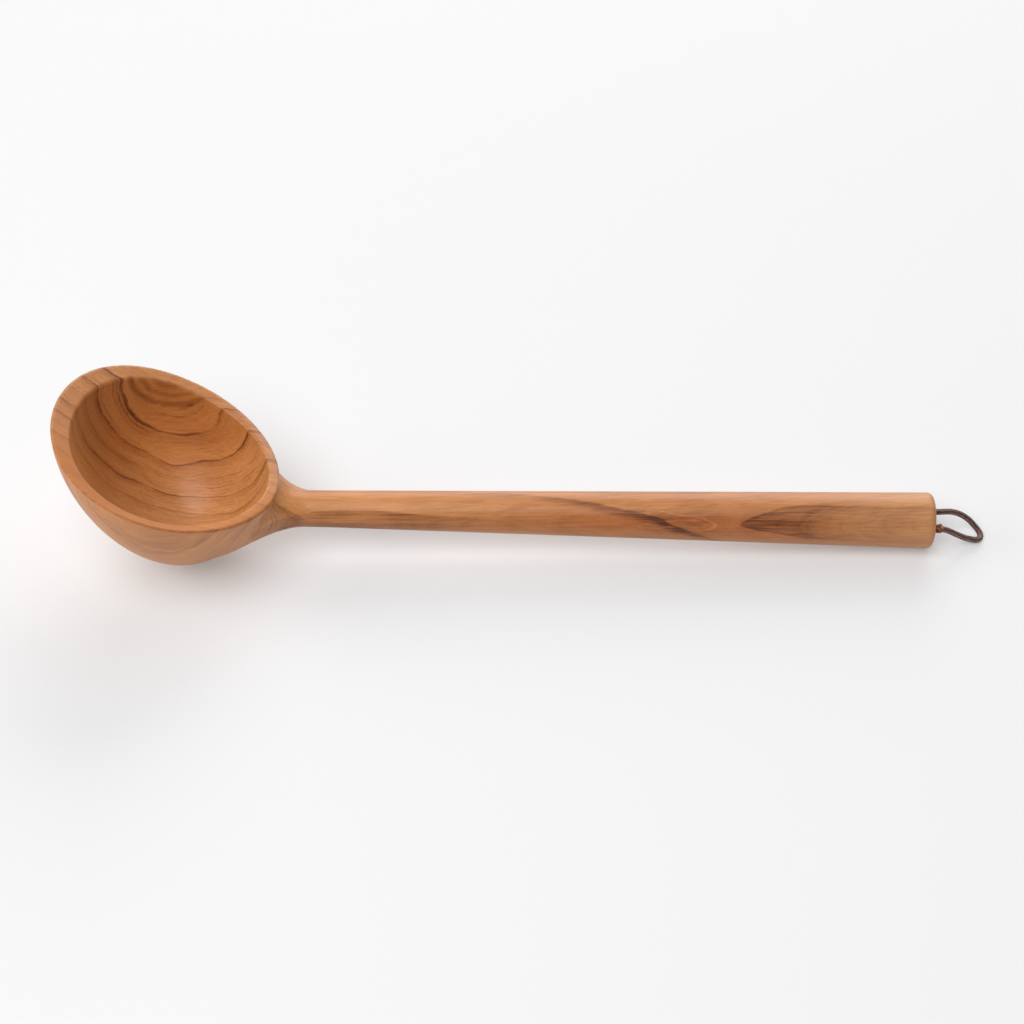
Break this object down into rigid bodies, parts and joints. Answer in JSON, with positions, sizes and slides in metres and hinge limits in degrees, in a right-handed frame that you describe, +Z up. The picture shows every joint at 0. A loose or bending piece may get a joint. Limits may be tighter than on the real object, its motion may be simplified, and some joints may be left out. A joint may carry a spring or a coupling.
{
  "type": "wooden soup ladle",
  "caption": "Carved wooden ladle with a deep tilted bowl, a round tapering handle and a leather hanging lace knotted through the handle's end.",
  "frame": {"origin": "on the table under the middle of the wood's length, with the ladle lying on its bowl and the end of its handle", "axes": "+X along the handle towards the hanging lace, +Y across the bowl away from the knot's side, +Z up"},
  "size_m": [0.3336, 0.0786, 0.0665],
  "materials": {
    "oiled_wood": "oiled satin",
    "dark_leather": "waxed"
  },
  "bodies": {
    "ladle": {"ladle_body": "oiled_wood", "lace_inside": "dark_leather"},
    "loop": {"lace_loop": "dark_leather", "lace_knot": "dark_leather"}
  },
  "joints": [
    {"name": "loop_swing", "type": "hinge", "parent": "ladle", "child": "loop", "pos_m": [0.15875, 0, 0.01025], "axis": [0, 1, 0], "range_deg": [-90, 60]}
  ]
}
